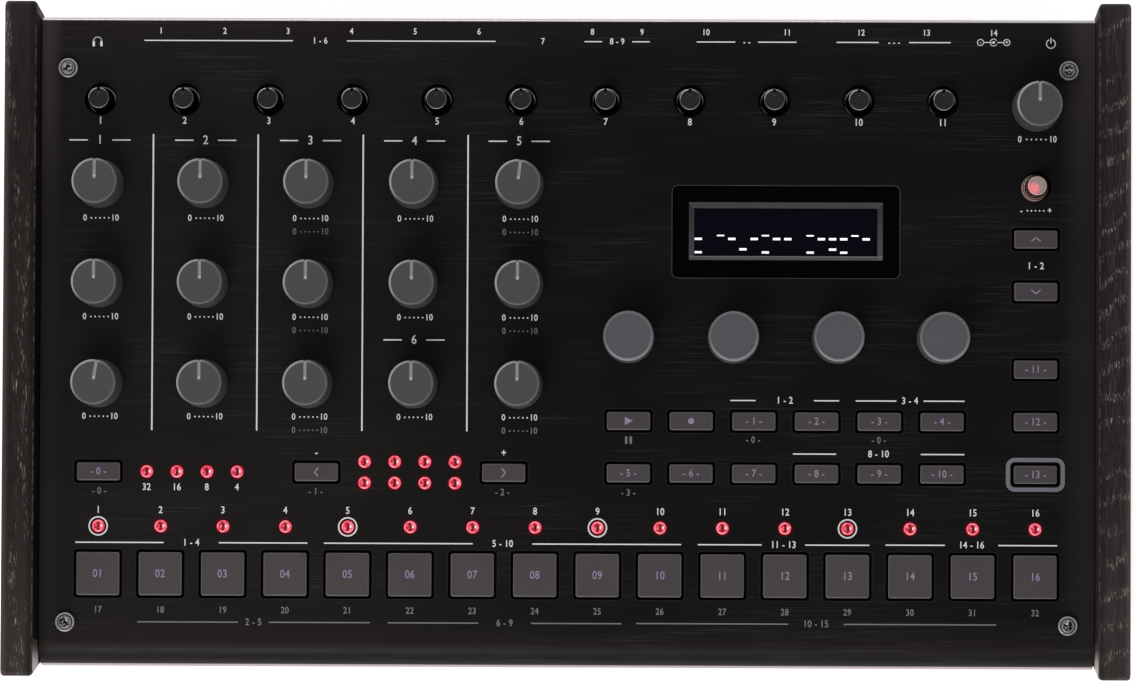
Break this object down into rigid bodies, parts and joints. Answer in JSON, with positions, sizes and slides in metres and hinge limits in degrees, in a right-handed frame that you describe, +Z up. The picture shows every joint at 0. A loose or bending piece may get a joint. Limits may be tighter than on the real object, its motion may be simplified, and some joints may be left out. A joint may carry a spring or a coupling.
{
  "type": "drum machine",
  "caption": "Desktop drum machine with wooden cheeks: sloping black panel of dials, step pads, keys, lamps and a small display, sockets at the rear.",
  "frame": {"origin": "on the table, under the middle of the case", "axes": "+X to the player's right, +Y to the rear sockets, +Z up"},
  "size_m": [0.366, 0.2192, 0.0647],
  "materials": {
    "panel_black": "satin black lacquer with faint lengthwise brushing",
    "case_black": "fine-textured black powder coat",
    "wood_dark": "black-stained open grain, pale pores",
    "rubber_black": "matte",
    "screw_dark": "blackened, bright rim",
    "fastener_steel": "nickel",
    "board_green": "solder resist",
    "post_metal": "turned",
    "pot_black": "moulded",
    "led_red": "lit red lamp",
    "display_black": "gloss black",
    "screen_navy": "dark screen",
    "socket_black": "moulded",
    "dial_grey": "satin dark grey",
    "trim_black": "satin black",
    "dial_clear": "clear, lit red from below",
    "key_grey": "satin dark grey"
  },
  "bodies": {
    "case": {"top_panel": "panel_black", "bottom_tray": "case_black", "rear_panel": "case_black", "left_cheek": "wood_dark", "right_cheek": "wood_dark", "rubber_feet": "rubber_black", "panel_screws": "screw_dark", "case_fasteners": "fastener_steel", "circuit_boards": "board_green", "mounting_posts": "post_metal", "pot_bodies": "pot_black", "key_switches": "pot_black", "indicator_leds": "led_red", "display_bezel": "display_black", "display_module": "screen_navy", "audio_jacks": "socket_black", "data_and_power_sockets": "socket_black", "socket_cores": "socket_black"},
    "dial_a1": {"dial_a1": "dial_grey"},
    "dial_a2": {"dial_a2": "dial_grey"},
    "dial_a3": {"dial_a3": "dial_grey"},
    "dial_b1": {"dial_b1": "dial_grey"},
    "dial_b2": {"dial_b2": "dial_grey"},
    "dial_b3": {"dial_b3": "dial_grey"},
    "dial_c1": {"dial_c1": "dial_grey"},
    "dial_c2": {"dial_c2": "dial_grey"},
    "dial_c3": {"dial_c3": "dial_grey"},
    "dial_d1": {"dial_d1": "dial_grey"},
    "dial_d2": {"dial_d2": "dial_grey"},
    "dial_d3": {"dial_d3": "dial_grey"},
    "dial_e1": {"dial_e1": "dial_grey"},
    "dial_e2": {"dial_e2": "dial_grey"},
    "dial_e3": {"dial_e3": "dial_grey"},
    "volume_dial": {"volume_dial": "dial_grey"},
    "encoder_1": {"encoder_1": "dial_grey"},
    "encoder_2": {"encoder_2": "dial_grey"},
    "encoder_3": {"encoder_3": "dial_grey"},
    "encoder_4": {"encoder_4": "dial_grey"},
    "level_trim_1": {"level_trim_1": "trim_black"},
    "level_trim_2": {"level_trim_2": "trim_black"},
    "level_trim_3": {"level_trim_3": "trim_black"},
    "level_trim_4": {"level_trim_4": "trim_black"},
    "level_trim_5": {"level_trim_5": "trim_black"},
    "level_trim_6": {"level_trim_6": "trim_black"},
    "level_trim_7": {"level_trim_7": "trim_black"},
    "level_trim_8": {"level_trim_8": "trim_black"},
    "level_trim_9": {"level_trim_9": "trim_black"},
    "level_trim_10": {"level_trim_10": "trim_black"},
    "level_trim_11": {"level_trim_11": "trim_black"},
    "tempo_dial": {"tempo_dial": "dial_clear"},
    "step_pads_1_4": {"step_pads_1_4": "key_grey"},
    "step_pads_5_8": {"step_pads_5_8": "key_grey"},
    "step_pads_9_12": {"step_pads_9_12": "key_grey"},
    "step_pads_13_16": {"step_pads_13_16": "key_grey"},
    "transport_keys": {"transport_keys": "key_grey"},
    "mode_keys": {"mode_keys": "key_grey"},
    "page_keys": {"page_keys": "key_grey"},
    "side_keys": {"side_keys": "key_grey"},
    "time_and_length_keys": {"time_and_length_keys": "key_grey"},
    "power_button": {"power_button": "socket_black"}
  },
  "joints": [
    {"name": "dial_a1_turn", "type": "hinge", "parent": "case", "child": "dial_a1", "pos_m": [-0.15295, 0.05132, 0.04737], "axis": [0, -0.1045, 0.9945], "range_deg": [-150, 150]},
    {"name": "dial_a2_turn", "type": "hinge", "parent": "case", "child": "dial_a2", "pos_m": [-0.15295, 0.0189, 0.04396], "axis": [0, -0.1045, 0.9945], "range_deg": [-150, 150]},
    {"name": "dial_a3_turn", "type": "hinge", "parent": "case", "child": "dial_a3", "pos_m": [-0.15295, -0.01352, 0.04056], "axis": [0, -0.1045, 0.9945], "range_deg": [-141, 159]},
    {"name": "dial_b1_turn", "type": "hinge", "parent": "case", "child": "dial_b1", "pos_m": [-0.11865, 0.05132, 0.04737], "axis": [0, -0.1045, 0.9945], "range_deg": [-150, 150]},
    {"name": "dial_b2_turn", "type": "hinge", "parent": "case", "child": "dial_b2", "pos_m": [-0.11865, 0.0189, 0.04396], "axis": [0, -0.1045, 0.9945], "range_deg": [-150, 150]},
    {"name": "dial_b3_turn", "type": "hinge", "parent": "case", "child": "dial_b3", "pos_m": [-0.11865, -0.01352, 0.04056], "axis": [0, -0.1045, 0.9945], "range_deg": [-150, 150]},
    {"name": "dial_c1_turn", "type": "hinge", "parent": "case", "child": "dial_c1", "pos_m": [-0.08435, 0.05132, 0.04737], "axis": [0, -0.1045, 0.9945], "range_deg": [-150, 150]},
    {"name": "dial_c2_turn", "type": "hinge", "parent": "case", "child": "dial_c2", "pos_m": [-0.08435, 0.0189, 0.04396], "axis": [0, -0.1045, 0.9945], "range_deg": [-150, 150]},
    {"name": "dial_c3_turn", "type": "hinge", "parent": "case", "child": "dial_c3", "pos_m": [-0.08435, -0.01352, 0.04056], "axis": [0, -0.1045, 0.9945], "range_deg": [-150, 150]},
    {"name": "dial_d1_turn", "type": "hinge", "parent": "case", "child": "dial_d1", "pos_m": [-0.05005, 0.05132, 0.04737], "axis": [0, -0.1045, 0.9945], "range_deg": [-150, 150]},
    {"name": "dial_d2_turn", "type": "hinge", "parent": "case", "child": "dial_d2", "pos_m": [-0.05005, 0.0189, 0.04396], "axis": [0, -0.1045, 0.9945], "range_deg": [-150, 150]},
    {"name": "dial_d3_turn", "type": "hinge", "parent": "case", "child": "dial_d3", "pos_m": [-0.05005, -0.01352, 0.04056], "axis": [0, -0.1045, 0.9945], "range_deg": [-150, 150]},
    {"name": "dial_e1_turn", "type": "hinge", "parent": "case", "child": "dial_e1", "pos_m": [-0.01575, 0.05132, 0.04737], "axis": [0, -0.1045, 0.9945], "range_deg": [-143, 157]},
    {"name": "dial_e2_turn", "type": "hinge", "parent": "case", "child": "dial_e2", "pos_m": [-0.01575, 0.0189, 0.04396], "axis": [0, -0.1045, 0.9945], "range_deg": [-150, 150]},
    {"name": "dial_e3_turn", "type": "hinge", "parent": "case", "child": "dial_e3", "pos_m": [-0.01575, -0.01352, 0.04056], "axis": [0, -0.1045, 0.9945], "range_deg": [-150, 150]},
    {"name": "volume_dial_turn", "type": "hinge", "parent": "case", "child": "volume_dial", "pos_m": [0.15295, 0.07708, 0.05008], "axis": [0, -0.1045, 0.9945], "range_deg": [-150, 150]},
    {"name": "encoder_1_turn", "type": "hinge", "parent": "case", "child": "encoder_1", "pos_m": [0.0202, 0.00189, 0.04218], "axis": [0, -0.1045, 0.9945], "continuous": true},
    {"name": "encoder_2_turn", "type": "hinge", "parent": "case", "child": "encoder_2", "pos_m": [0.0543, 0.00189, 0.04218], "axis": [0, -0.1045, 0.9945], "continuous": true},
    {"name": "encoder_3_turn", "type": "hinge", "parent": "case", "child": "encoder_3", "pos_m": [0.0884, 0.00189, 0.04218], "axis": [0, -0.1045, 0.9945], "continuous": true},
    {"name": "encoder_4_turn", "type": "hinge", "parent": "case", "child": "encoder_4", "pos_m": [0.1225, 0.00189, 0.04218], "axis": [0, -0.1045, 0.9945], "continuous": true},
    {"name": "level_trim_1_turn", "type": "hinge", "parent": "case", "child": "level_trim_1", "pos_m": [-0.15295, 0.07897, 0.05028], "axis": [0, -0.1045, 0.9945], "range_deg": [-150, 150]},
    {"name": "level_trim_2_turn", "type": "hinge", "parent": "case", "child": "level_trim_2", "pos_m": [-0.1254, 0.07897, 0.05028], "axis": [0, -0.1045, 0.9945], "range_deg": [-150, 150]},
    {"name": "level_trim_3_turn", "type": "hinge", "parent": "case", "child": "level_trim_3", "pos_m": [-0.09786, 0.07897, 0.05028], "axis": [0, -0.1045, 0.9945], "range_deg": [-150, 150]},
    {"name": "level_trim_4_turn", "type": "hinge", "parent": "case", "child": "level_trim_4", "pos_m": [-0.07032, 0.07897, 0.05028], "axis": [0, -0.1045, 0.9945], "range_deg": [-150, 150]},
    {"name": "level_trim_5_turn", "type": "hinge", "parent": "case", "child": "level_trim_5", "pos_m": [-0.04277, 0.07897, 0.05028], "axis": [0, -0.1045, 0.9945], "range_deg": [-150, 150]},
    {"name": "level_trim_6_turn", "type": "hinge", "parent": "case", "child": "level_trim_6", "pos_m": [-0.01523, 0.07897, 0.05028], "axis": [0, -0.1045, 0.9945], "range_deg": [-150, 150]},
    {"name": "level_trim_7_turn", "type": "hinge", "parent": "case", "child": "level_trim_7", "pos_m": [0.01232, 0.07897, 0.05028], "axis": [0, -0.1045, 0.9945], "range_deg": [-150, 150]},
    {"name": "level_trim_8_turn", "type": "hinge", "parent": "case", "child": "level_trim_8", "pos_m": [0.03986, 0.07897, 0.05028], "axis": [0, -0.1045, 0.9945], "range_deg": [-150, 150]},
    {"name": "level_trim_9_turn", "type": "hinge", "parent": "case", "child": "level_trim_9", "pos_m": [0.06741, 0.07897, 0.05028], "axis": [0, -0.1045, 0.9945], "range_deg": [-150, 150]},
    {"name": "level_trim_10_turn", "type": "hinge", "parent": "case", "child": "level_trim_10", "pos_m": [0.09495, 0.07897, 0.05028], "axis": [0, -0.1045, 0.9945], "range_deg": [-150, 150]},
    {"name": "level_trim_11_turn", "type": "hinge", "parent": "case", "child": "level_trim_11", "pos_m": [0.1225, 0.07897, 0.05028], "axis": [0, -0.1045, 0.9945], "range_deg": [-150, 150]},
    {"name": "tempo_dial_turn", "type": "hinge", "parent": "case", "child": "tempo_dial", "pos_m": [0.15295, 0.05132, 0.04737], "axis": [0, -0.1045, 0.9945], "range_deg": [-150, 150]},
    {"name": "step_pads_1_4_press", "type": "slide", "parent": "case", "child": "step_pads_1_4", "axis": [0, -0.1045, 0.9945], "range_m": [-0.0006, 0], "stiffness_N_per_m": 900},
    {"name": "step_pads_5_8_press", "type": "slide", "parent": "case", "child": "step_pads_5_8", "axis": [0, -0.1045, 0.9945], "range_m": [-0.0006, 0], "stiffness_N_per_m": 900},
    {"name": "step_pads_9_12_press", "type": "slide", "parent": "case", "child": "step_pads_9_12", "axis": [0, -0.1045, 0.9945], "range_m": [-0.0006, 0], "stiffness_N_per_m": 900},
    {"name": "step_pads_13_16_press", "type": "slide", "parent": "case", "child": "step_pads_13_16", "axis": [0, -0.1045, 0.9945], "range_m": [-0.0006, 0], "stiffness_N_per_m": 900},
    {"name": "transport_keys_press", "type": "slide", "parent": "case", "child": "transport_keys", "axis": [0, -0.1045, 0.9945], "range_m": [-0.0006, 0], "stiffness_N_per_m": 900},
    {"name": "mode_keys_press", "type": "slide", "parent": "case", "child": "mode_keys", "axis": [0, -0.1045, 0.9945], "range_m": [-0.0006, 0], "stiffness_N_per_m": 900},
    {"name": "page_keys_press", "type": "slide", "parent": "case", "child": "page_keys", "axis": [0, -0.1045, 0.9945], "range_m": [-0.0006, 0], "stiffness_N_per_m": 900},
    {"name": "side_keys_press", "type": "slide", "parent": "case", "child": "side_keys", "axis": [0, -0.1045, 0.9945], "range_m": [-0.0006, 0], "stiffness_N_per_m": 900},
    {"name": "time_and_length_keys_press", "type": "slide", "parent": "case", "child": "time_and_length_keys", "axis": [0, -0.1045, 0.9945], "range_m": [-0.0006, 0], "stiffness_N_per_m": 900},
    {"name": "power_button_press", "type": "slide", "parent": "case", "child": "power_button", "axis": [0, 1, 0], "range_m": [-0.0025, 0]}
  ]
}
